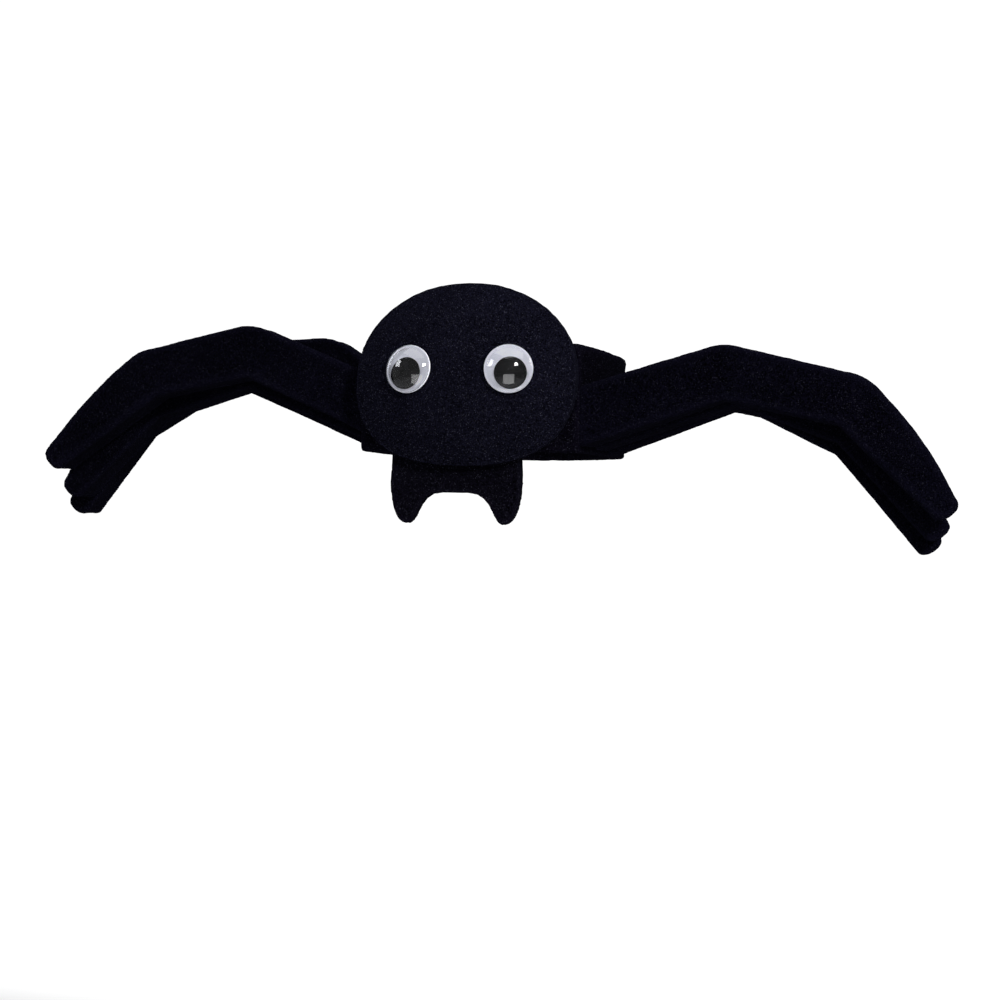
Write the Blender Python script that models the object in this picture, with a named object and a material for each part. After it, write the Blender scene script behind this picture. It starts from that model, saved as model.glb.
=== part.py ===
# Spider headband: a foam ring for the head with a domed spider body, fangs, eyes and eight legs.
# Metres, +Z up, the spider looks along -Y. Z = 0 is the lower rim of the band, X = 0 its middle.

import math
import bpy

MM = 0.001
GAP = 0.3 * MM                   # glue line between two touching pieces

# Head band
BAND_HEIGHT = 65 * MM
BAND_WALL = 8 * MM
OPENING_LENGTH = 181 * MM        # front to back, inside
FRONT_HALF_WIDTH = 69 * MM       # middle to the front corner, outside
FRONT_BULGE = 5 * MM             # how far the front panel arches forward of its corners
SIDE_HALF_WIDTH = 80.5 * MM      # at the widest place, outside
WIDEST_BEHIND_CORNER = 88 * MM
BACK_ROUNDNESS = 2.1             # 2 is an ellipse, more is squarer
FRONT_STEPS = 12
SIDE_STEPS = 8
BACK_STEPS = 28

# Spider body, a domed foam shell
BODY_HALF_WIDTH = FRONT_HALF_WIDTH        # it reaches from corner to corner
BODY_MIDDLE_Z = 44.5 * MM
BODY_RISE = 58.5 * MM            # middle to the top
BODY_DROP = 54 * MM              # middle to the bottom
BODY_DOME = 17 * MM
BODY_WALL = 10 * MM
BODY_PINCHED_WALL = 5 * MM       # where the fangs press the foam
BODY_EASE = 20 * MM              # height over which the back settles onto the band above the fangs
BODY_LEAN = math.radians(7)
TOP_SQUARENESS = 2.08
BOTTOM_SQUARENESS = 2.5
BODY_RINGS = 9
BODY_SECTORS = 48

# Fang plate
FANG_WALL = 8 * MM
FANG_HALF_WIDTH = 41 * MM
FANG_TOP_HALF_WIDTH = 39 * MM
FANG_LAP = 14 * MM               # how far it laps up over the band
FANG_SHOULDER_DROP = 20 * MM     # below the band, where the outside starts to taper
FANG_DROP = 45 * MM              # below the band, at the tips
FANG_TIP_X = 30.4 * MM
FANG_ARCH_DROP = 25.8 * MM
FANG_ARCH_FLAT = 9 * MM          # half of the straight middle of the arch
FANG_SHIFT = -5 * MM             # the plate is glued a little off centre
FANG_COLUMNS = 7                 # in each curved stretch

# Eyes
EYE_DIAMETER = 29.5 * MM
EYE_SPACING = 62 * MM
EYE_Z = 48 * MM
EYE_CUP_WALL = 1.4 * MM
PUPIL_DIAMETER = 19.5 * MM
PUPIL_THICKNESS = 1 * MM
LENS_HEIGHT = 6.5 * MM
LENS_WALL = 0.9 * MM
EYE_SECTORS = 28
LENS_RINGS = 5

# Where each loose pupil lies, as shares of the free play that it has in its eye
PUPIL_REST = [
    # side, sideways, down
    (-1, -0.32, 0.92),
    (+1, +0.38, 0.90),
]

# Legs, flat foam cut-outs that stand in line along each side of the band
LEG_THICKNESS = 20 * MM
LEG_PITCH = 25 * MM            # from one leg to the next
LEG_ROOT_WIDTH = 34 * MM
LEG_KNEE_WIDTH = 32 * MM
LEG_ANKLE_WIDTH = 30 * MM
LEG_TIP_WIDTH = 15 * MM
LEG_FOOT_SWELL = 3 * MM          # the outer edge of the foot bows out by this
LEG_THIGH = 85 * MM
LEG_SHIN = 75 * MM
LEG_FOOT = 85 * MM
KNEE_STEPS = 6
TIP_STEPS = 6
FOOT_STEPS = 5

# Lengths are shares of the thigh, shin and foot, the root is a share of the band's height,
# and each pitch is in degrees above level.
LEGS = [
    # side, row, root, thigh, thigh_pitch, shin, shin_pitch, foot, foot_pitch
    (-1, 1, 0.47, 0.94, 24.0, 0.98, -11.5, 1.03, -40.0),
    (-1, 2, 0.39, 1.02, 22.5, 1.03, -18.0, 0.97, -48.5),
    (-1, 3, 0.33, 1.16, 22.5, 1.07, -18.0, 1.03, -57.0),
    (-1, 4, 0.50, 0.60, 36.0, 1.14, -2.0, 1.06, -35.0),
    (+1, 1, 0.33, 1.01, 18.3, 1.04, -12.8, 0.96, -50.0),
    (+1, 2, 0.31, 1.03, 18.0, 1.00, -20.5, 0.96, -53.0),
    (+1, 3, 0.27, 1.05, 20.0, 1.00, -27.0, 0.96, -55.5),
    (+1, 4, 0.36, 0.75, 24.0, 1.05, -11.5, 1.00, -39.5),
]

# Places that follow from the sizes
INSIDE_FRONT_Y = -OPENING_LENGTH / 2
CORNER_Y = INSIDE_FRONT_Y - BAND_WALL + FRONT_BULGE
WIDEST_Y = CORNER_Y + WIDEST_BEHIND_CORNER
BACK_Y = OPENING_LENGTH / 2 + BAND_WALL


def clear_scene():
    for old in list(bpy.data.objects):
        bpy.data.objects.remove(old, do_unlink=True)


def material(name, colour, roughness, transmission=0.0):
    mat = bpy.data.materials.new(name)
    mat.use_nodes = True
    shader = mat.node_tree.nodes["Principled BSDF"]
    shader.inputs["Base Color"].default_value = (*colour, 1)
    shader.inputs["Roughness"].default_value = roughness
    shader.inputs["Metallic"].default_value = 0.0
    shader.inputs["Transmission Weight"].default_value = transmission
    return mat


def add_object(name, points, faces, mat, smooth_angle=None):
    mesh = bpy.data.meshes.new(name)
    mesh.from_pydata(points, [], faces)
    mesh.update()
    if smooth_angle is not None:
        mesh.shade_smooth()
        mesh.set_sharp_from_angle(angle=math.radians(smooth_angle))
    mesh.materials.append(mat)
    obj = bpy.data.objects.new(name, mesh)
    bpy.context.scene.collection.objects.link(obj)
    return obj


# Shapes of the band's outside

def panel_y(x):
    """Outside of the front panel, a flat arc through both corners."""
    radius = (FRONT_HALF_WIDTH ** 2 + FRONT_BULGE ** 2) / (2 * FRONT_BULGE)
    inside = min(abs(x), FRONT_HALF_WIDTH)
    return CORNER_Y + radius - FRONT_BULGE - math.sqrt(radius ** 2 - inside ** 2)


def side_x(y):
    """Half width of the band's outside, from the corner to the back."""
    if y <= WIDEST_Y:
        share = (WIDEST_Y - y) / (WIDEST_Y - CORNER_Y)
        return SIDE_HALF_WIDTH - (SIDE_HALF_WIDTH - FRONT_HALF_WIDTH) * share ** 2
    share = (y - WIDEST_Y) / (BACK_Y - WIDEST_Y)
    return SIDE_HALF_WIDTH * (1 - share ** BACK_ROUNDNESS) ** (1 / BACK_ROUNDNESS)


def band_outline():
    """Outside of the band seen from above, anticlockwise from the left front corner."""
    front = []
    for i in range(FRONT_STEPS):
        x = FRONT_HALF_WIDTH * (2 * i / FRONT_STEPS - 1)
        front.append((x, panel_y(x)))
    side = []
    for i in range(SIDE_STEPS):
        y = CORNER_Y + (WIDEST_Y - CORNER_Y) * i / SIDE_STEPS
        side.append((side_x(y), y))
    back = []
    for i in range(BACK_STEPS + 1):
        turn = math.pi * i / BACK_STEPS
        power = 2 / BACK_ROUNDNESS
        x = math.copysign(abs(math.cos(turn)) ** power, math.cos(turn)) * SIDE_HALF_WIDTH
        y = WIDEST_Y + (BACK_Y - WIDEST_Y) * abs(math.sin(turn)) ** power
        back.append((x, y))
    other_side = [(-x, y) for x, y in reversed(side[1:])]
    return front + side + back + other_side


def inset(outline, distance):
    """The outline moved inwards by a wall, with mitred corners."""
    moved = []
    count = len(outline)
    for i, (x, y) in enumerate(outline):
        before = outline[i - 1]
        after = outline[(i + 1) % count]
        normals = []
        for (ax, ay), (bx, by) in ((before, (x, y)), ((x, y), after)):
            length = math.hypot(bx - ax, by - ay)
            normals.append((-(by - ay) / length, (bx - ax) / length))
        nx = normals[0][0] + normals[1][0]
        ny = normals[0][1] + normals[1][1]
        scale = 2 * distance / (nx * nx + ny * ny)
        moved.append((x + nx * scale, y + ny * scale))
    return moved


def make_band():
    outer = band_outline()
    inner = inset(outer, BAND_WALL)
    count = len(outer)
    points = []
    for z in (0, BAND_HEIGHT):
        points += [(x, y, z) for x, y in outer]
        points += [(x, y, z) for x, y in inner]
    low_out, low_in, high_out, high_in = 0, count, 2 * count, 3 * count
    faces = []
    for i in range(count):
        j = (i + 1) % count
        faces.append((low_out + i, low_out + j, high_out + j, high_out + i))
        faces.append((low_in + j, low_in + i, high_in + i, high_in + j))
        faces.append((high_out + i, high_out + j, high_in + j, high_in + i))
        faces.append((low_out + j, low_out + i, low_in + i, low_in + j))
    mat = material("foam_band", (0.006, 0.0055, 0.008), 0.95)
    return add_object("head_band", points, faces, mat, 35)


# Spider body

def fang_front_y(x):
    return panel_y(x) - GAP - FANG_WALL


def body_lean_y(z):
    return (z - BODY_MIDDLE_Z) * math.tan(BODY_LEAN)


def body_base_y():
    """Rim of the dome's front at mid height, so that the bottom edge rests on the fangs."""
    bottom_front = fang_front_y(0) - GAP - BODY_PINCHED_WALL
    return bottom_front - body_lean_y(BODY_MIDDLE_Z - BODY_DROP)


def body_rim(turn):
    c, s = math.cos(turn), math.sin(turn)
    power = 2 / (TOP_SQUARENESS if s >= 0 else BOTTOM_SQUARENESS)
    height = BODY_RISE if s >= 0 else BODY_DROP
    x = math.copysign(abs(c) ** power, c) * BODY_HALF_WIDTH
    return x, math.copysign(abs(s) ** power, s) * height


def body_front_y(x, z):
    rise = z - BODY_MIDDLE_Z
    squareness = TOP_SQUARENESS if rise >= 0 else BOTTOM_SQUARENESS
    height = BODY_RISE if rise >= 0 else BODY_DROP
    rim_share = abs(x / BODY_HALF_WIDTH) ** squareness + abs(rise / height) ** squareness
    radius = rim_share ** (1 / squareness)
    return body_base_y() + body_lean_y(z) - BODY_DOME * (1 - radius ** 2)


def body_back_y(x, z):
    """The shell's own back, or the front of what stands behind it."""
    above_fangs = (z - FANG_LAP - BODY_EASE / 2) / BODY_EASE
    share = 1 - min(max(above_fangs, 0), 1)
    behind = panel_y(x) - GAP - share * (FANG_WALL + GAP)
    return min(body_front_y(x, z) + BODY_WALL, behind)


def make_body():
    points = [(0, body_front_y(0, BODY_MIDDLE_Z), BODY_MIDDLE_Z),
              (0, body_back_y(0, BODY_MIDDLE_Z), BODY_MIDDLE_Z)]
    front_rings, back_rings = [], []
    for ring in range(1, BODY_RINGS + 1):
        radius = math.sin(math.pi / 2 * ring / BODY_RINGS)
        for rings, y_at in ((front_rings, body_front_y), (back_rings, body_back_y)):
            start = len(points)
            for i in range(BODY_SECTORS):
                x, rise = body_rim(2 * math.pi * i / BODY_SECTORS)
                x, z = x * radius, BODY_MIDDLE_Z + rise * radius
                points.append((x, y_at(x, z), z))
            rings.append(start)
    faces = []
    for i in range(BODY_SECTORS):
        j = (i + 1) % BODY_SECTORS
        faces.append((0, front_rings[0] + i, front_rings[0] + j))
        faces.append((1, back_rings[0] + j, back_rings[0] + i))
        for near, far in zip(front_rings, front_rings[1:]):
            faces.append((near + i, far + i, far + j, near + j))
        for near, far in zip(back_rings, back_rings[1:]):
            faces.append((near + j, far + j, far + i, near + i))
        faces.append((front_rings[-1] + i, back_rings[-1] + i, back_rings[-1] + j, front_rings[-1] + j))
    mat = material("foam_body", (0.007, 0.0065, 0.011), 0.92)
    return add_object("spider_body", points, faces, mat, 40)


# Fang plate

def bezier(start, pull_start, pull_end, end, steps):
    curve = []
    for i in range(steps + 1):
        t = i / steps
        weights = ((1 - t) ** 3, 3 * t * (1 - t) ** 2, 3 * t * t * (1 - t), t ** 3)
        knots = (start, pull_start, pull_end, end)
        curve.append(tuple(sum(w * k[axis] for w, k in zip(weights, knots)) for axis in (0, 1)))
    return curve


def fang_edge():
    """Lower edge of one half of the plate, from the middle of the arch to the outside."""
    arch_end = (FANG_ARCH_FLAT, -FANG_ARCH_DROP)
    tip = (FANG_TIP_X, -FANG_DROP)
    shoulder = (FANG_HALF_WIDTH, -FANG_SHOULDER_DROP)
    reach = FANG_TIP_X - FANG_ARCH_FLAT
    fall = FANG_DROP - FANG_ARCH_DROP
    inside = bezier(arch_end, (FANG_ARCH_FLAT + 0.75 * reach, arch_end[1]),
                    (tip[0] - 0.30 * reach, tip[1] + 0.05 * fall), tip, FANG_COLUMNS)
    spread = FANG_HALF_WIDTH - FANG_TIP_X
    climb = FANG_DROP - FANG_SHOULDER_DROP
    outside = bezier(tip, (tip[0] + 0.55 * spread, tip[1]),
                     (shoulder[0], shoulder[1] - 0.60 * climb), shoulder, FANG_COLUMNS)
    return [(0, -FANG_ARCH_DROP)] + inside + outside[1:]


def make_fangs():
    half = fang_edge()
    edge = [(-x, z) for x, z in reversed(half[1:])] + half
    levels = (0.0, 0.5, 1.0)     # shares of the way from the lower edge to the top
    points = []
    for side in (0, 1):
        for x, low in edge:
            for level in levels:
                z = low + (FANG_LAP - low) * level
                above = max(0, (z + FANG_SHOULDER_DROP) / (FANG_LAP + FANG_SHOULDER_DROP))
                narrowed = x * (1 - above * (1 - FANG_TOP_HALF_WIDTH / FANG_HALF_WIDTH))
                at = narrowed + FANG_SHIFT
                back = panel_y(at) - GAP
                points.append((at, back - FANG_WALL * (1 - side), z))
    rows = len(levels)
    half_count = len(edge) * rows
    faces = []
    for c in range(len(edge) - 1):
        for r in range(rows - 1):
            a, b = c * rows + r, (c + 1) * rows + r
            faces.append((a, b, b + 1, a + 1))
            faces.append((half_count + b, half_count + a, half_count + a + 1, half_count + b + 1))
        low_a, low_b = c * rows, (c + 1) * rows
        top_a, top_b = low_a + rows - 1, low_b + rows - 1
        faces.append((low_b, low_a, half_count + low_a, half_count + low_b))
        faces.append((top_a, top_b, half_count + top_b, half_count + top_a))
    last = (len(edge) - 1) * rows
    for r in range(rows - 1):
        faces.append((r + 1, r, half_count + r, half_count + r + 1)[::-1])
        faces.append((last + r, last + r + 1, half_count + last + r + 1, half_count + last + r)[::-1])
    mat = material("foam_fangs", (0.0035, 0.003, 0.0045), 0.95)
    return add_object("fang_plate", points, faces, mat, 35)


# Eyes

def spin(name, profile, mat):
    """Turns a profile of (radius, height) points round the eye's axis, which is +Z here."""
    points, rings = [], []
    for radius, height in profile:
        if radius == 0:
            rings.append([len(points)] * EYE_SECTORS)
            points.append((0, 0, height))
            continue
        ring = []
        for i in range(EYE_SECTORS):
            turn = 2 * math.pi * i / EYE_SECTORS
            ring.append(len(points))
            points.append((radius * math.cos(turn), radius * math.sin(turn), height))
        rings.append(ring)
    faces = []
    for low, high in zip(rings, rings[1:]):
        for i in range(EYE_SECTORS):
            j = (i + 1) % EYE_SECTORS
            corners = [low[i], low[j], high[j], high[i]]
            faces.append(tuple(dict.fromkeys(corners)))
    return add_object(name, points, faces, mat, 40)


def cap_height(radius, height, at):
    """Height of a dome of a base radius and height, at a distance from its middle."""
    sphere = (radius ** 2 + height ** 2) / (2 * height)
    return height - sphere + math.sqrt(max(sphere ** 2 - at ** 2, 0))


def lens_profile():
    base = EYE_DIAMETER / 2
    seat = EYE_CUP_WALL + GAP
    inner_base = base - LENS_WALL
    inner_height = LENS_HEIGHT - LENS_WALL
    outer, inner = [], []
    for i in range(LENS_RINGS + 1):
        share = math.cos(math.pi / 2 * i / LENS_RINGS)
        outer.append((base * share, seat + cap_height(base, LENS_HEIGHT, base * share)))
        at = inner_base * share
        inner.append((at, seat + cap_height(inner_base, inner_height, at)))
    outer[-1] = (0, outer[-1][1])
    inner[-1] = (0, inner[-1][1])
    return inner[::-1] + outer


def disc_profile(radius, low, high):
    return [(0, low), (radius, low), (radius, high), (0, high)]


def surface_frame(x, z):
    """Point on the dome's front, its turn about Z and its tip upwards."""
    step = 0.5 * MM
    slope_x = (body_front_y(x + step, z) - body_front_y(x - step, z)) / (2 * step)
    slope_z = (body_front_y(x, z + step) - body_front_y(x, z - step)) / (2 * step)
    turn = math.atan(slope_x)
    tip = math.atan(slope_z * math.cos(turn))
    return (x, body_front_y(x, z), z), turn, tip


def make_eye(side, sideways, down):
    word = "left" if side < 0 else "right"
    place, turn, tip = surface_frame(side * EYE_SPACING / 2, EYE_Z)
    eye = bpy.data.objects.new("eye_frame_" + word, None)
    bpy.context.scene.collection.objects.link(eye)
    eye.rotation_euler = (math.pi / 2 - tip, 0, turn)
    outward = (math.sin(turn) * math.cos(tip), -math.cos(turn) * math.cos(tip), math.sin(tip))
    eye.location = [p + GAP * d for p, d in zip(place, outward)]
    white = material("eye_white_" + word, (0.72, 0.72, 0.80), 0.35)
    black = material("pupil_black_" + word, (0.004, 0.004, 0.004), 0.25)
    clear = material("lens_clear_" + word, (1, 1, 1), 0.03, 1.0)
    cup = spin("eye_cup_" + word, disc_profile(EYE_DIAMETER / 2, 0, EYE_CUP_WALL), white)
    floor = EYE_CUP_WALL + GAP
    pupil = spin("pupil_" + word, disc_profile(PUPIL_DIAMETER / 2, floor, floor + PUPIL_THICKNESS), black)
    lens = spin("eye_lens_" + word, lens_profile(), clear)
    play = EYE_DIAMETER / 2 - LENS_WALL - PUPIL_DIAMETER / 2 - 2 * GAP - PUPIL_THICKNESS / 2
    pupil.location = (sideways * play, -down * play, 0)
    for piece in (cup, pupil, lens):
        piece.parent = eye


# Legs

def leg_outline(root_z, segments):
    """Outline of one leg in (reach, height), from the upper root round the tip to the lower root."""
    knots = [(0.0, root_z)]
    for length, pitch in segments:
        x, z = knots[-1]
        knots.append((x + length * math.cos(pitch), z + length * math.sin(pitch)))
    halves = (LEG_ROOT_WIDTH / 2, LEG_KNEE_WIDTH / 2, LEG_ANKLE_WIDTH / 2, LEG_TIP_WIDTH / 2)
    pitches = [pitch for _, pitch in segments]
    first_slant = halves[0] / math.cos(pitches[0])
    upper = [(0.0, root_z + first_slant)]
    lower = [(0.0, root_z - first_slant)]
    for k in (1, 2):
        bend = pitches[k - 1] - pitches[k]
        middle = (pitches[k - 1] + pitches[k]) / 2
        mitre = halves[k] / math.cos(bend / 2)
        x, z = knots[k]
        heel = (x + mitre * math.sin(middle), z - mitre * math.cos(middle))
        lower.append(heel)
        round_radius = halves[k] + mitre * math.cos(bend / 2)
        for i in range(KNEE_STEPS + 1):
            along = pitches[k - 1] - bend * i / KNEE_STEPS
            upper.append((heel[0] - round_radius * math.sin(along),
                          heel[1] + round_radius * math.cos(along)))
    tip_x, tip_z = knots[3]
    down, out = math.cos(pitches[2]), math.sin(pitches[2])
    tip_corner = (tip_x - halves[3] * out, tip_z + halves[3] * down)
    start = upper[-1]
    for i in range(1, FOOT_STEPS):
        share = i / FOOT_STEPS
        swell = LEG_FOOT_SWELL * math.sin(math.pi * share)
        upper.append((start[0] + (tip_corner[0] - start[0]) * share - swell * out,
                      start[1] + (tip_corner[1] - start[1]) * share + swell * down))
    for i in range(TIP_STEPS + 1):
        along = pitches[2] + math.pi / 2 - math.pi * i / TIP_STEPS
        bluntness = 0.55         # the end is flatter than a half circle
        out = halves[3] * math.cos(along - pitches[2]) * bluntness
        across = halves[3] * math.sin(along - pitches[2])
        upper.append((tip_x + out * math.cos(pitches[2]) - across * math.sin(pitches[2]),
                      tip_z + out * math.sin(pitches[2]) + across * math.cos(pitches[2])))
    return upper, lower[::-1]


def make_leg(side, row, root, thigh, thigh_pitch, shin, shin_pitch, foot, foot_pitch):
    segments = ((thigh * LEG_THIGH, math.radians(thigh_pitch)),
                (shin * LEG_SHIN, math.radians(shin_pitch)),
                (foot * LEG_FOOT, math.radians(foot_pitch)))
    upper, lower = leg_outline(root * BAND_HEIGHT, segments)
    outline = upper + lower
    front_y = CORNER_Y + LEG_PITCH * (row - 1)
    layers = (front_y, front_y + LEG_THICKNESS / 2, front_y + LEG_THICKNESS)
    foot_of_root = max(side_x(y) for y in layers)
    points = []
    for y in layers:
        for i, (reach, z) in enumerate(outline):
            at_root = i in (0, len(outline) - 1)
            x = side_x(y) + GAP if at_root else foot_of_root + GAP + reach
            points.append((side * x, y, z))
    count = len(outline)
    ring = range(count) if side > 0 else range(count - 1, -1, -1)
    ring = list(ring)
    faces = [tuple(ring[::-1])]
    faces.append(tuple(2 * count + i for i in ring))
    for layer in (0, 1):
        for i in range(count):
            a, b = ring[i], ring[(i + 1) % count]
            near, far = layer * count, (layer + 1) * count
            faces.append((near + a, near + b, far + b, far + a))
    word = "left" if side < 0 else "right"
    mat = material(f"foam_leg_{word}_{row}", (0.004, 0.0038, 0.0065), 0.95)
    return add_object(f"leg_{word}_{row}", points, faces, mat, 35)


def main():
    clear_scene()
    make_band()
    make_body()
    make_fangs()
    for side, sideways, down in PUPIL_REST:
        make_eye(side, sideways, down)
    for leg in LEGS:
        make_leg(*leg)
    bpy.context.view_layer.update()


main()
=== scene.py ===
import math
import bpy
import bmesh
import numpy as np
from mathutils import Matrix, Vector


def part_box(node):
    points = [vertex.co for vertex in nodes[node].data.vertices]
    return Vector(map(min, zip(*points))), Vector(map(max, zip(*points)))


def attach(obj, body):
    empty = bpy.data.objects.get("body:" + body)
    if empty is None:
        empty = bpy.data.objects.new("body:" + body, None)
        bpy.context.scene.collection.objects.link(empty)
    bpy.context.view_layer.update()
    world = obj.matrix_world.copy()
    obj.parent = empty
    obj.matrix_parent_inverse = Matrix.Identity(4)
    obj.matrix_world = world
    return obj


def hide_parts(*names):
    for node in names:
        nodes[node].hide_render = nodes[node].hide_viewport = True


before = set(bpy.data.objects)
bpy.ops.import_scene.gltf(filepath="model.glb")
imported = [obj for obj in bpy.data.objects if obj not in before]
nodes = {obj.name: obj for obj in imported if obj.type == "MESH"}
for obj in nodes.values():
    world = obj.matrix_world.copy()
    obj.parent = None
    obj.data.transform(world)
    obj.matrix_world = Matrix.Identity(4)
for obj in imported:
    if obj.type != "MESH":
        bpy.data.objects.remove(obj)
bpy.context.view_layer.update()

sides = ("left", "right")
print("frame loaded:", len(nodes), "solids")


# node helpers

def newNode(tree, kind, place=(0, 0), **settings):
    node = tree.nodes.new(kind)
    node.location = place
    for name, value in settings.items():
        setattr(node, name, value)
    return node


def feed(tree, socket, value):
    if isinstance(value, bpy.types.NodeSocket):
        tree.links.new(value, socket)
    else:
        socket.default_value = value


def mathOut(tree, operation, *values, clamp=False):
    node = newNode(tree, "ShaderNodeMath", operation=operation, use_clamp=clamp)
    for socket, value in zip(node.inputs, values):
        feed(tree, socket, value)
    return node.outputs[0]


def noiseOut(tree, vector, scale, detail=3.0, roughness=0.5):
    node = newNode(tree, "ShaderNodeTexNoise")
    feed(tree, node.inputs["Vector"], vector)
    feed(tree, node.inputs["Scale"], scale)
    node.inputs["Detail"].default_value = detail
    node.inputs["Roughness"].default_value = roughness
    return node.outputs["Fac"]


def rangeOut(tree, value, fromMin, fromMax, toMin=0.0, toMax=1.0, smooth=False):
    node = newNode(tree, "ShaderNodeMapRange")
    if smooth:
        node.interpolation_type = "SMOOTHSTEP"
    for name, number in (("Value", value), ("From Min", fromMin), ("From Max", fromMax),
                         ("To Min", toMin), ("To Max", toMax)):
        feed(tree, node.inputs[name], number)
    return node.outputs["Result"]


def mixColour(tree, factor, first, second):
    node = newNode(tree, "ShaderNodeMix", data_type="RGBA")
    feed(tree, node.inputs["Factor"], factor)
    feed(tree, node.inputs[6], first)      # the colour sockets A and B
    feed(tree, node.inputs[7], second)
    return node.outputs[2]


def newGroup(name, inputs, outputs):
    group = bpy.data.node_groups.new(name, "ShaderNodeTree")
    for socketName, kind, value in inputs:
        socket = group.interface.new_socket(name=socketName, in_out="INPUT", socket_type=kind)
        socket.default_value = value
    for socketName, kind in outputs:
        group.interface.new_socket(name=socketName, in_out="OUTPUT", socket_type=kind)
    entry = newNode(group, "NodeGroupInput", (-1200, 0))
    leave = newNode(group, "NodeGroupOutput", (900, 0))
    return group, entry.outputs, leave.inputs


# flock: short black fibres on sponge foam, with mottling, pale lint and a painted highlight along the cut
# edges

flockLook = {
    "tuftShare": 0.22, "patchScale": 34.0,
    "grainSwing": 8.0, "tuftSwing": 0.9, "patchSwing": 4.0, "darkest": 0.15,
    "speckScale": 900.0, "speckInner": 0.14, "speckOuter": 0.34,
    "pickScale": 520.0, "pickFrom": 0.40, "pickTo": 0.64,
    "smoothest": 0.82, "roughest": 0.98, "grainHeight": 0.55, "tuftHeight": 0.6, "lintHeight": 0.25,
}


def makeFlockGroup():
    group, given, wanted = newGroup(
        "flockOnFoam",
        [("Fibre", "NodeSocketColor", (0.01, 0.01, 0.012, 1)),
         ("Lint", "NodeSocketColor", (0.08, 0.08, 0.10, 1)),
         ("Grain per metre", "NodeSocketFloat", 1500.0),
         ("Patchiness", "NodeSocketFloat", 0.35),
         ("Lint amount", "NodeSocketFloat", 0.5),
         ("Edge", "NodeSocketFloat", 0.0),
         ("Painted edge highlight", "NodeSocketFloat", 0.8)],
        [("Colour", "NodeSocketColor"), ("Roughness", "NodeSocketFloat"), ("Height", "NodeSocketFloat")])
    where = newNode(group, "ShaderNodeTexCoord", (-1200, -300)).outputs["Object"]
    grain = noiseOut(group, where, given["Grain per metre"], 2.0, 0.65)
    tuftScale = mathOut(group, "MULTIPLY", given["Grain per metre"], flockLook["tuftShare"])
    tuft = noiseOut(group, where, tuftScale, 3.0, 0.6)
    patch = noiseOut(group, where, flockLook["patchScale"], 2.0, 0.5)

    # brightness of the fibres: fine grain, tufts a few millimetres wide and broad handled patches
    def fromMiddle(noise):
        return mathOut(group, "SUBTRACT", noise, 0.5)

    swing = mathOut(group, "MULTIPLY_ADD", fromMiddle(grain), flockLook["grainSwing"], 1.0)
    swing = mathOut(group, "MULTIPLY_ADD", fromMiddle(tuft), flockLook["tuftSwing"], swing)
    patchGain = mathOut(group, "MULTIPLY", given["Patchiness"], flockLook["patchSwing"])
    broad = mathOut(group, "MULTIPLY", fromMiddle(patch), patchGain)
    swing = mathOut(group, "MAXIMUM", mathOut(group, "ADD", swing, broad), flockLook["darkest"])
    # painted highlight: the cut-edge mask lightens the fibre colour along the edges, in place of the rim of
    # light that catches them
    paintedEdgeGain = mathOut(group, "MULTIPLY", given["Edge"], given["Painted edge highlight"])
    swing = mathOut(group, "ADD", swing, paintedEdgeGain)
    shaded = newNode(group, "ShaderNodeVectorMath", operation="SCALE")
    group.links.new(given["Fibre"], shaded.inputs[0])
    group.links.new(swing, shaded.inputs["Scale"])

    # lint: pale specks about half a millimetre wide
    speck = newNode(group, "ShaderNodeTexVoronoi", feature="F1")
    speck.inputs["Scale"].default_value = flockLook["speckScale"]
    group.links.new(where, speck.inputs["Vector"])
    distance = speck.outputs["Distance"]
    near = rangeOut(group, distance, flockLook["speckInner"], flockLook["speckOuter"], 1.0, 0.0)
    pick = noiseOut(group, where, flockLook["pickScale"], 1.0)
    chosen = rangeOut(group, pick, flockLook["pickFrom"], flockLook["pickTo"])
    specks = mathOut(group, "MULTIPLY", near, chosen)
    lint = mathOut(group, "MULTIPLY", specks, given["Lint amount"], clamp=True)
    colour = mixColour(group, lint, shaded.outputs[0], given["Lint"])
    group.links.new(colour, wanted["Colour"])
    roughness = rangeOut(group, tuft, 0.3, 0.7, flockLook["smoothest"], flockLook["roughest"])
    group.links.new(roughness, wanted["Roughness"])
    tuftHeight = mathOut(group, "MULTIPLY", tuft, flockLook["tuftHeight"])
    height = mathOut(group, "MULTIPLY_ADD", grain, flockLook["grainHeight"], tuftHeight)
    group.links.new(mathOut(group, "MULTIPLY_ADD", lint, flockLook["lintHeight"], height), wanted["Height"])
    return group


# haze: handling marks and fine dust on the plastic of the eyes

hazeLook = {
    "smearScale": 120.0, "smearFrom": 0.42, "smearTo": 0.68, "smearShare": 0.35, "smearHeight": 0.6,
    "dotScale": 2600.0, "dotFrom": 0.68, "dotTo": 0.76, "dotHeight": 0.3,
}


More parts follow.
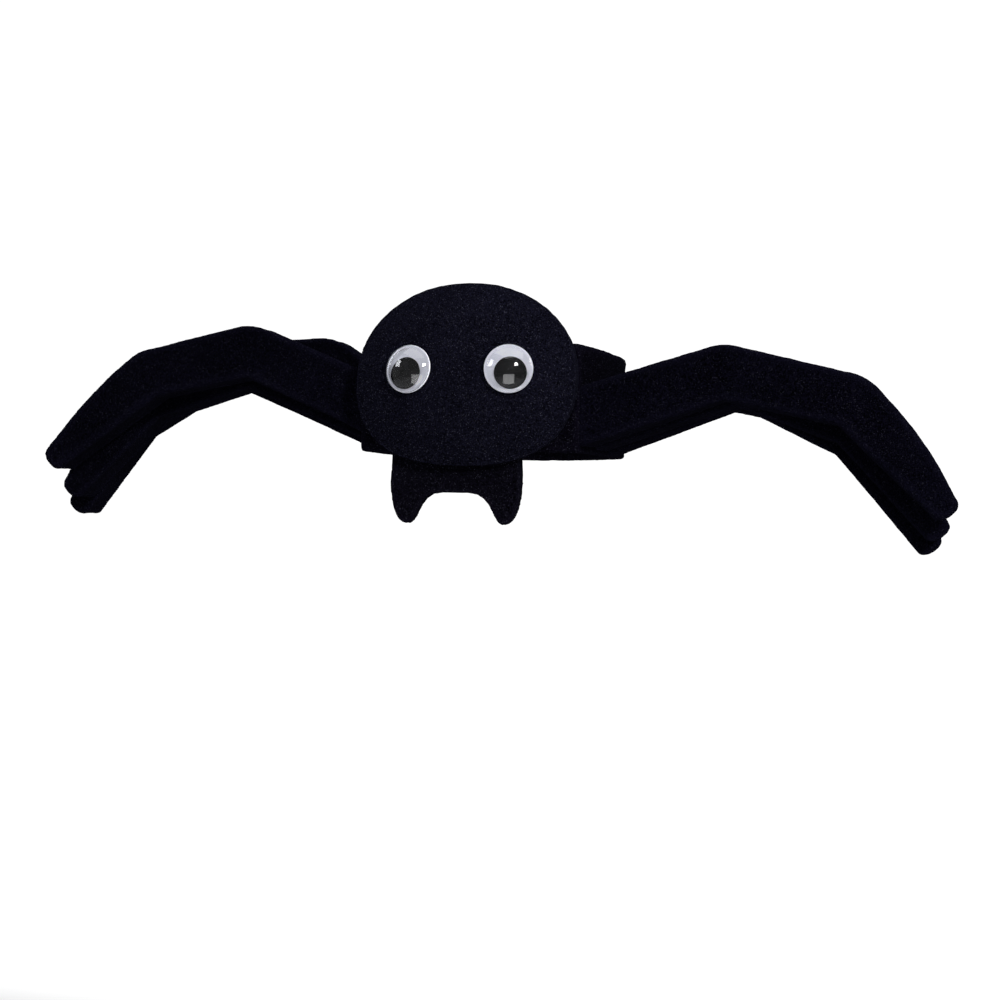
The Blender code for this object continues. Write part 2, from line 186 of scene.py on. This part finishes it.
def makeHazeGroup():
    group, given, wanted = newGroup(
        "handlingHaze",
        [("Clean", "NodeSocketColor", (0.8, 0.8, 0.8, 1)),
         ("Dust", "NodeSocketColor", (0.5, 0.5, 0.5, 1)),
         ("Smoothest", "NodeSocketFloat", 0.05),
         ("Roughest", "NodeSocketFloat", 0.2),
         ("Amount", "NodeSocketFloat", 0.2)],
        [("Colour", "NodeSocketColor"), ("Roughness", "NodeSocketFloat"), ("Height", "NodeSocketFloat")])
    where = newNode(group, "ShaderNodeTexCoord", (-1200, -300)).outputs["Object"]
    smear = noiseOut(group, where, hazeLook["smearScale"], 4.0, 0.6)
    dots = noiseOut(group, where, hazeLook["dotScale"], 1.0, 0.5)
    marked = rangeOut(group, smear, hazeLook["smearFrom"], hazeLook["smearTo"])
    mark = mathOut(group, "MULTIPLY", marked, given["Amount"])
    dusty = rangeOut(group, dots, hazeLook["dotFrom"], hazeLook["dotTo"])
    fleck = mathOut(group, "MULTIPLY", dusty, given["Amount"])
    worn = mathOut(group, "ADD", mathOut(group, "MULTIPLY", mark, hazeLook["smearShare"]), fleck, clamp=True)
    group.links.new(mixColour(group, worn, given["Clean"], given["Dust"]), wanted["Colour"])
    roughness = rangeOut(group, smear, 0.3, 0.7, given["Smoothest"], given["Roughest"])
    group.links.new(roughness, wanted["Roughness"])
    dotHeight = mathOut(group, "MULTIPLY", dots, hazeLook["dotHeight"])
    height = mathOut(group, "MULTIPLY_ADD", smear, hazeLook["smearHeight"], dotHeight)
    group.links.new(height, wanted["Height"])
    return group


flockGroup = makeFlockGroup()
hazeGroup = makeHazeGroup()


def newMaterial(name):
    mat = bpy.data.materials.new(name)
    mat.use_nodes = True
    tree = mat.node_tree
    return mat, tree, tree.nodes["Principled BSDF"]


def placeGroup(tree, group, values):
    node = newNode(tree, "ShaderNodeGroup", (-500, 0), node_tree=group)
    for name, value in values.items():
        feed(tree, node.inputs[name], value)
    return node


def foamMaterial(name, look):
    mat, tree, shader = newMaterial(name)
    edge = newNode(tree, "ShaderNodeAttribute", (-800, -200), attribute_name="cutEdge")
    flock = placeGroup(tree, flockGroup, {
        "Fibre": (*look["fibreWithPaintedShade"], 1), "Lint": (*look["lint"], 1),
        "Grain per metre": look["grainPerMetre"], "Patchiness": look["patchiness"],
        "Lint amount": look["lintAmount"], "Painted edge highlight": look["paintedEdgeHighlight"]})
    tree.links.new(edge.outputs["Fac"], flock.inputs["Edge"])
    tree.links.new(flock.outputs["Colour"], shader.inputs["Base Color"])
    tree.links.new(flock.outputs["Roughness"], shader.inputs["Roughness"])
    bump = newNode(tree, "ShaderNodeBump", (-200, -300))
    bump.inputs["Strength"].default_value = look["bumpStrength"]
    bump.inputs["Distance"].default_value = look["bumpDepth"]
    tree.links.new(flock.outputs["Height"], bump.inputs["Height"])
    tree.links.new(bump.outputs["Normal"], shader.inputs["Normal"])
    shader.inputs["Specular IOR Level"].default_value = look["shine"]
    shader.inputs["Sheen Weight"].default_value = look["sheen"]
    shader.inputs["Sheen Roughness"].default_value = look["sheenRoughness"]
    shader.inputs["Sheen Tint"].default_value = (*look["sheenTint"], 1)
    return mat


foamLook = {
    "lint": (0.038, 0.038, 0.054), "grainPerMetre": 1300.0, "patchiness": 0.20, "lintAmount": 0.6,
    "paintedEdgeHighlight": 0.8, "bumpStrength": 0.9, "bumpDepth": 0.0008, "shine": 0.0,
    "sheen": 0.004, "sheenRoughness": 0.55, "sheenTint": (0.62, 0.62, 0.95),
}
# painted shade: every piece is the same black flock foam, but each gets its own fibre tone for how brightly
# it is lit; the body is lightest, the legs and band darker, and the fangs darker as if in the body's shadow
foamChanges = {
    "bodyFoam": {"fibreWithPaintedShade": (0.0028, 0.0028, 0.0058), "lintAmount": 0.8},
    "legFoam": {"fibreWithPaintedShade": (0.0012, 0.0011, 0.0027), "patchiness": 0.35, "lintAmount": 0.32},
    "bandFoam": {"fibreWithPaintedShade": (0.0012, 0.0010, 0.0023), "sheen": 0.002},
    "fangFoam": {"fibreWithPaintedShade": (0.0017, 0.0015, 0.0030)},
}
foamFinishes = {name: foamMaterial(name, {**foamLook, **changes}) for name, changes in foamChanges.items()}
print("foam finishes ready:", ", ".join(foamFinishes))


# foam pieces: each is a dense copy of its solid, with soft cut edges, an uneven surface and its own dents

def linkMesh(name, mesh):
    obj = bpy.data.objects.new(name, mesh)
    bpy.context.scene.collection.objects.link(obj)
    return obj


def evaluatedMesh(obj):
    graph = bpy.context.evaluated_depsgraph_get()
    return bpy.data.meshes.new_from_object(obj.evaluated_get(graph), depsgraph=graph)


def neighbourMean(points, edges, counts):
    total = np.zeros_like(points)
    for axis in range(points.shape[1]):
        total[:, axis] = (np.bincount(edges[:, 0], points[edges[:, 1], axis], len(points))
                          + np.bincount(edges[:, 1], points[edges[:, 0], axis], len(points)))
    return total / counts[:, None]


def valueNoise(points, size, seed):
    # smooth noise from -1 to 1, between random values at the corners of cells of the given size
    repeat = 17
    table = np.random.default_rng(seed).random((repeat, repeat, repeat)) * 2 - 1
    scaled = points / size + 1000.0    # keeps all cell numbers above zero
    cell = np.floor(scaled).astype(int)
    part = scaled - cell
    part = part * part * (3 - 2 * part)
    out = np.zeros(len(points))
    for dx in (0, 1):
        for dy in (0, 1):
            for dz in (0, 1):
                weight = (abs(1 - dx - part[:, 0]) * abs(1 - dy - part[:, 1]) * abs(1 - dz - part[:, 2]))
                corner = (cell + (dx, dy, dz)) % repeat
                out += weight * table[corner[:, 0], corner[:, 1], corner[:, 2]]
    return out


def vertexNormals(mesh):
    flat = np.empty(len(mesh.vertices) * 3)
    mesh.vertex_normals.foreach_get("vector", flat)
    return flat.reshape(-1, 3)


def getPoints(mesh):
    flat = np.empty(len(mesh.vertices) * 3)
    mesh.vertices.foreach_get("co", flat)
    return flat.reshape(-1, 3)


def setPoints(mesh, points):
    mesh.vertices.foreach_set("co", points.ravel())
    mesh.update()


def denseCopy(name, nodeName, look):
    work = linkMesh(name + "Work", nodes[nodeName].data.copy())
    welded = bmesh.new()
    welded.from_mesh(work.data)
    bmesh.ops.remove_doubles(welded, verts=welded.verts, dist=look["weld"])
    welded.to_mesh(work.data)
    welded.free()
    if look["splits"]:
        # a thin rim comes out ragged from voxels, so this piece's own faces are split instead
        grid = work.modifiers.new("grid", "SUBSURF")
        grid.subdivision_type = "SIMPLE"
        grid.levels = look["splits"]
    else:
        grid = work.modifiers.new("grid", "REMESH")
        grid.mode = "VOXEL"
        grid.voxel_size = look["voxel"]
    mesh = evaluatedMesh(work)
    bpy.data.objects.remove(work)
    mesh.name = name
    return mesh


def softFoam(name, nodeName, look, dents=()):
    mesh = denseCopy(name, nodeName, look)
    points = getPoints(mesh)
    edges = np.empty(len(mesh.edges) * 2, int)
    mesh.edges.foreach_get("vertices", edges)
    edges = edges.reshape(-1, 2)
    counts = np.bincount(edges.ravel(), minlength=len(points)).astype(float)
    for step in range(look["smoothing"]):
        for push in (look["ease"], -look["giveBack"]):     # the second push undoes the first one's shrinking
            points = points + push * (neighbourMean(points, edges, counts) - points)
    for step in range(look["rounding"]):
        points = points + look["ease"] * (neighbourMean(points, edges, counts) - points)
    setPoints(mesh, points)

    # how far each point stands out past its blurred surroundings marks the cut edges
    normals = vertexNormals(mesh)
    blurred = points.copy()
    for step in range(look["edgeSpread"]):
        blurred = 0.5 * blurred + 0.5 * neighbourMean(blurred, edges, counts)
    proud = ((points - blurred) * normals).sum(1)
    edgeMask = np.clip(proud / look["edgeHeight"], 0, 1)[:, None]
    for step in range(look["edgeBlur"]):
        edgeMask = 0.5 * edgeMask + 0.5 * neighbourMean(edgeMask, edges, counts)
    edgeMask = edgeMask[:, 0]

    lift = np.zeros(len(points))
    for k, relief in enumerate(("wave", "dimple", "crumb")):
        lift += look[relief + "Depth"] * valueNoise(points, look[relief + "Size"], look["seed"] + k)
    for dent in dents:
        lift -= dent(points, normals)
    lift = np.clip(lift, -look["deepest"], look["proudest"]) + look["edgeSwell"] * edgeMask
    setPoints(mesh, points + normals * lift[:, None])
    # the cut-edge mask goes to the foam finish, which paints a highlight along these edges
    mask = mesh.attributes.new("cutEdge", "FLOAT", "POINT")
    mask.data.foreach_set("value", edgeMask.astype(np.float32))
    mesh.shade_smooth()
    obj = linkMesh(name, mesh)
    obj.data.materials.clear()
    obj.data.materials.append(foamFinishes[look["finish"]])
    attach(obj, "root")
    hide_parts(nodeName)
    return obj


def crease(start, end, width, depth, towards):
    # a pressed line from start to end, on the faces that look one way
    a, b = np.array(start), np.array(end)
    along = b - a
    facing = np.array(towards)

    def dent(points, normals):
        share = np.clip(((points - a) @ along) / (along @ along), 0, 1)
        gap = np.linalg.norm(points - (a + share[:, None] * along), axis=1)
        faces = np.clip((normals @ facing - 0.3) / 0.4, 0, 1)
        return depth * np.exp(-(gap / width) ** 2) * faces
    return dent


foamShape = {
    "weld": 0.00002, "voxel": 0.0012, "splits": 0,
    "smoothing": 10, "rounding": 1, "ease": 0.5, "giveBack": 0.52,
    "edgeSpread": 10, "edgeHeight": 0.0004, "edgeBlur": 3, "edgeSwell": 0.0009,
    "waveDepth": 0.00035, "waveSize": 0.030, "dimpleDepth": 0.00016, "dimpleSize": 0.007,
    "crumbDepth": 0.00009, "crumbSize": 0.0026, "deepest": 0.002, "proudest": 0.0005,
}
backSeam = {"past": 0.01, "width": 0.0007, "depth": 0.0012}
bandShape = {**foamShape, "voxel": 0.0016, "finish": "bandFoam", "slot": "foam_band", "seed": 21}
bodyShape = {**foamShape, "splits": 3, "smoothing": 24, "rounding": 2, "edgeSpread": 16, "edgeSwell": 0.0006,
             "finish": "bodyFoam", "slot": "foam_body", "seed": 31}
fangShape = {**foamShape, "voxel": 0.0008, "finish": "fangFoam", "slot": "foam_fangs", "seed": 41}
legShape = {**foamShape, "finish": "legFoam", "slot": "foam_legs"}
legSeeds = {"left": 50, "right": 60}
kneeCrease = {"leg": "leg_left_1", "topX": -0.1505, "topZ": 0.0705, "lowX": -0.1515, "lowZ": 0.0570,
              "width": 0.0011, "depth": 0.0016}


def makeBand():
    low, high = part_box("head_band")
    behind = high[1]
    seam = crease((0, behind, low[2] - backSeam["past"]), (0, behind, high[2] + backSeam["past"]),
                  backSeam["width"], backSeam["depth"], (0, 1, 0))
    return softFoam("headBandFoam", "head_band", bandShape, [seam])


def makeLegs():
    for side in sides:
        for row in (1, 2, 3, 4):
            name = f"leg_{side}_{row}"
            dents = []
            if name == kneeCrease["leg"]:
                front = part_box(name)[0][1]
                top = (kneeCrease["topX"], front, kneeCrease["topZ"])
                low = (kneeCrease["lowX"], front, kneeCrease["lowZ"])
                dents.append(crease(top, low, kneeCrease["width"], kneeCrease["depth"], (0, -1, 0)))
            look = {**legShape, "seed": legSeeds[side] + row}
            softFoam(f"leg{side.capitalize()}{row}Foam", name, look, dents)
    print("legs done")


makeBand()
softFoam("spiderBodyFoam", "spider_body", bodyShape)
softFoam("fangPlateFoam", "fang_plate", fangShape)
makeLegs()


# eyes: turned plastic pieces on the axis of the solid they replace

eyeLook = {
    "segments": 72, "domeRings": 14, "flange": 0.0012, "flangeThickness": 0.0005, "wall": 0.0008,
    "cupEdge": 0.0003, "pupilEdge": 0.00025, "edgeSteps": 4, "sharpAngle": 50.0,
    "whiteClean": (0.90, 0.915, 1.0, 1), "whiteDust": (0.50, 0.50, 0.55, 1),
    "pupilClean": (0.0035, 0.0035, 0.004, 1), "pupilDust": (0.03, 0.03, 0.033, 1),
    "pupilShine": 0.08, "pupilBump": 0.02, "pupilRelief": 0.00005,
    "lensClean": (0.985, 0.985, 1.0, 1), "lensDust": (0.85, 0.85, 0.88, 1), "lensIndex": 1.46,
}


def eyeAxis(nodeName):
    # place, radius, thickness and outward direction of a flat round piece of an eye, read from its solid
    points = np.unique(getPoints(nodes[nodeName].data).round(6), axis=0)
    middle = points.mean(0)
    spread = np.linalg.svd(points - middle)[2]
    outward = Vector(spread[2])
    if outward.y > 0:
        outward.negate()
    heights = (points - middle) @ np.array(outward)
    turn = Vector((0, 0, 1)).rotation_difference(outward).to_matrix().to_4x4()
    base = Vector(middle) + outward * float(heights.min())
    radius = float(np.linalg.norm((points - middle) - heights[:, None] * np.array(outward), axis=1).max())
    return Matrix.Translation(base) @ turn, radius, float(heights.max() - heights.min()), outward


def turned(name, profile, segments, mat, frameMatrix):
    # a profile of (radius, height) points turned round the eye's axis
    mesh = bpy.data.meshes.new(name)
    shape = bmesh.new()
    rings = []
    for radius, height in profile:
        if radius < 1e-7:
            rings.append([shape.verts.new((0, 0, height))])
            continue
        rings.append([shape.verts.new((radius * math.cos(2 * math.pi * i / segments),
                                       radius * math.sin(2 * math.pi * i / segments), height))
                      for i in range(segments)])
    for low, high in zip(rings, rings[1:]):
        for i in range(segments):
            j = (i + 1) % segments
            corners = [low[i % len(low)], low[j % len(low)], high[j % len(high)], high[i % len(high)]]
            shape.faces.new(list(dict.fromkeys(corners)))
    bmesh.ops.recalc_face_normals(shape, faces=shape.faces)
    shape.to_mesh(mesh)
    shape.free()
    mesh.transform(frameMatrix)
    mesh.shade_smooth()
    mesh.set_sharp_from_angle(angle=math.radians(eyeLook["sharpAngle"]))
    mesh.materials.append(mat)
    return linkMesh(name, mesh)


def roundedDisc(radius, low, high, edge):
    # half a section through a disc with rounded edges, from its axis out and back
    turns = [math.pi / 2 * i / eyeLook["edgeSteps"] for i in range(1, eyeLook["edgeSteps"])]
    middle = radius - edge
    lower = [(middle + edge * math.sin(turn), low + edge - edge * math.cos(turn)) for turn in turns]
    upper = [(middle + edge * math.cos(turn), high - edge + edge * math.sin(turn)) for turn in turns]
    return ([(0, low), (middle, low)] + lower + [(radius, low + edge), (radius, high - edge)]
            + upper + [(middle, high), (0, high)])


def domeHeight(radius, height, at):
    # height of a cap of a sphere, at a distance from its axis
    sphere = (radius ** 2 + height ** 2) / (2 * height)
    return height - sphere + math.sqrt(max(sphere ** 2 - at ** 2, 0))


def plasticMaterial(name, finish, smoothest, roughest, amount):
    mat, tree, shader = newMaterial(name)
    haze = placeGroup(tree, hazeGroup, {
        "Clean": eyeLook[finish + "Clean"], "Dust": eyeLook[finish + "Dust"],
        "Smoothest": smoothest, "Roughest": roughest, "Amount": amount})
    tree.links.new(haze.outputs["Colour"], shader.inputs["Base Color"])
    tree.links.new(haze.outputs["Roughness"], shader.inputs["Roughness"])
    return mat, tree, shader, haze


def whiteMaterial():
    return plasticMaterial("eyeWhite", "white", 0.28, 0.42, 0.25)[0]


def pupilMaterial():
    mat, tree, shader, haze = plasticMaterial("pupilBlack", "pupil", 0.22, 0.34, 0.3)
    shader.inputs["Specular IOR Level"].default_value = eyeLook["pupilShine"]
    bump = newNode(tree, "ShaderNodeBump")
    bump.inputs["Strength"].default_value = eyeLook["pupilBump"]
    bump.inputs["Distance"].default_value = eyeLook["pupilRelief"]
    tree.links.new(haze.outputs["Height"], bump.inputs["Height"])
    tree.links.new(bump.outputs["Normal"], shader.inputs["Normal"])
    return mat


def lensMaterial():
    mat, tree, shader, haze = plasticMaterial("lensClear", "lens", 0.015, 0.05, 0.12)
    shader.inputs["Transmission Weight"].default_value = 1.0
    shader.inputs["IOR"].default_value = eyeLook["lensIndex"]
    return mat


def dressPiece(obj, nodeName):
    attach(obj, "root")
    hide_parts(nodeName)


def lensProfile(radius, seat, top):
    # the dome's inner face, its flat rim and its outer face, as one closed shell
    domeRadius, rise, wall = radius - eyeLook["flange"], top - seat, eyeLook["wall"]
    outer, inner = [], []
    for i in range(eyeLook["domeRings"] + 1):
        share = math.cos(math.pi / 2 * i / eyeLook["domeRings"])
        at = domeRadius * share
        thin = (domeRadius - wall) * share
        outer.append((at, seat + max(domeHeight(domeRadius, rise, at), eyeLook["flangeThickness"])))
        inner.append((thin, seat + domeHeight(domeRadius - wall, rise - wall, thin)))
    outer[-1], inner[-1] = (0, outer[-1][1]), (0, inner[-1][1])
    rim = [(radius, seat), (radius, seat + eyeLook["flangeThickness"])]
    return inner[::-1] + rim + outer


def makeEyes():
    white, black, clear = whiteMaterial(), pupilMaterial(), lensMaterial()
    segments = eyeLook["segments"]
    for side in sides:
        place, radius, cupWall, outward = eyeAxis(f"eye_cup_{side}")
        name = side.capitalize()
        cupProfile = roundedDisc(radius, 0, cupWall, eyeLook["cupEdge"])
        cup = turned(f"eyeBack{name}", cupProfile, segments, white, place)
        dressPiece(cup, f"eye_cup_{side}")

        pupilPlace, pupilRadius, pupilWall, _ = eyeAxis(f"pupil_{side}")
        pupilProfile = roundedDisc(pupilRadius, 0, pupilWall, eyeLook["pupilEdge"])
        pupil = turned(f"pupil{name}", pupilProfile, segments, black, pupilPlace)
        dressPiece(pupil, f"pupil_{side}")

        lensPoints = getPoints(nodes[f"eye_lens_{side}"].data) - np.array(place.translation)
        heights = lensPoints @ np.array(outward)
        profile = lensProfile(radius, float(heights.min()), float(heights.max()))
        lens = turned(f"eyeLens{name}", profile, segments, clear, place)
        dressPiece(lens, f"eye_lens_{side}")
    print("eyes done")


makeEyes()


# studio: pale floor that curves up behind, soft lights and the camera

studio = {
    "floorZ": -0.95, "wallY": 2.3, "curve": 0.9, "curveSteps": 12,
    "frontY": -2.6, "halfWidth": 3.6, "top": 2.8,
    "glow": 1.0, "glowFrom": 1.15, "glowTo": 1.55,
    "frontPaint": (0.35, 0.35, 0.36, 1), "backPaint": (0.08, 0.08, 0.08, 1),
    "airColour": (0.97, 0.98, 1.0, 1), "airStrength": 0.16, "lampAim": (0, -0.08, 0.03),
}


def makeBackdrop():
    mesh = bpy.data.meshes.new("backdrop")
    curve, steps = studio["curve"], studio["curveSteps"]
    profile = [(studio["frontY"], studio["floorZ"])]
    for i in range(steps + 1):
        turn = math.pi / 2 * i / steps
        profile.append((studio["wallY"] - curve + curve * math.sin(turn),
                        studio["floorZ"] + curve - curve * math.cos(turn)))
    profile.append((studio["wallY"], studio["top"]))
    points = [(x, y, z) for x in (-studio["halfWidth"], studio["halfWidth"]) for y, z in profile]
    count = len(profile)
    faces = [(i, count + i, count + i + 1, i + 1) for i in range(count - 1)]
    mesh.from_pydata(points, [], faces)
    mesh.shade_smooth()
    mat, tree, shader = newMaterial("paleBackdrop")
    shader.inputs["Roughness"].default_value = 1.0
    # only the part behind the object glows, so that the front throws little light back on the foam
    where = newNode(tree, "ShaderNodeTexCoord", (-900, -200))
    depth = newNode(tree, "ShaderNodeSeparateXYZ", (-700, -200))
    tree.links.new(where.outputs["Object"], depth.inputs[0])
    glow = rangeOut(tree, depth.outputs["Y"], studio["glowFrom"], studio["glowTo"], smooth=True)
    tree.links.new(mixColour(tree, glow, (0, 0, 0, 1), (1, 1, 1, 1)), shader.inputs["Emission Color"])
    paint = mixColour(tree, glow, studio["frontPaint"], studio["backPaint"])
    tree.links.new(paint, shader.inputs["Base Color"])
    shader.inputs["Emission Strength"].default_value = studio["glow"]
    mesh.materials.append(mat)
    obj = linkMesh("backdrop", mesh)


lamps = [
    # name, place, watts, width, height, colour
    ("key", (1.25, -1.35, 1.0), 40.0, 0.35, 0.35, (1.0, 0.99, 0.98)),
    ("fill", (-2.0, -0.7, 1.1), 13.0, 0.8, 0.8, (0.95, 0.96, 1.0)),
    ("low", (0.20, -0.82, -0.38), 3.0, 0.66, 0.60, (1.0, 1.0, 1.0)),
    ("top", (0.1, 0.0, 1.7), 22.0, 2.2, 2.2, (0.96, 0.97, 1.0)),
    ("back", (-0.9, 1.7, 1.1), 30.0, 0.8, 0.8, (0.97, 0.98, 1.0)),
]


def makeLights():
    for name, place, watts, width, height, colour in lamps:
        light = bpy.data.lights.new(name, "AREA")
        light.shape = "RECTANGLE"
        light.energy = watts
        light.size, light.size_y = width, height
        light.color = colour
        obj = bpy.data.objects.new(name, light)
        obj.location = place
        aim = Vector(studio["lampAim"]) - Vector(place)
        obj.rotation_euler = aim.to_track_quat("-Z", "Y").to_euler()
        bpy.context.scene.collection.objects.link(obj)
    world = bpy.data.worlds.new("studioAir")
    world.use_nodes = True
    sky = world.node_tree.nodes["Background"]
    sky.inputs["Color"].default_value = studio["airColour"]
    sky.inputs["Strength"].default_value = studio["airStrength"]
    bpy.context.scene.world = world


view = {
    "place": (0.2414, -0.9779, -0.029), "azimuth": 14.0, "roll": 1.0, "pitch": -0.08,
    "focalPixels": 1481.0, "imagePixels": 1000, "sensorWidth": 36.0, "nearest": 0.01,
}


def makeCamera():
    data = bpy.data.cameras.new("camera")
    data.sensor_fit = "HORIZONTAL"
    data.sensor_width = view["sensorWidth"]
    data.lens = view["focalPixels"] / view["imagePixels"] * data.sensor_width
    data.clip_start = view["nearest"]
    camera = bpy.data.objects.new("camera", data)
    turn = (Matrix.Rotation(math.radians(view["azimuth"]), 4, "Z")
            @ Matrix.Rotation(math.radians(90 + view["pitch"]), 4, "X")
            @ Matrix.Rotation(math.radians(view["roll"]), 4, "Z"))
    camera.matrix_world = Matrix.Translation(view["place"]) @ turn
    bpy.context.scene.collection.objects.link(camera)
    bpy.context.scene.camera = camera


makeBackdrop()
makeLights()
makeCamera()
bpy.context.scene.view_settings.view_transform = "Standard"
bpy.context.view_layer.update()
print("studio ready")
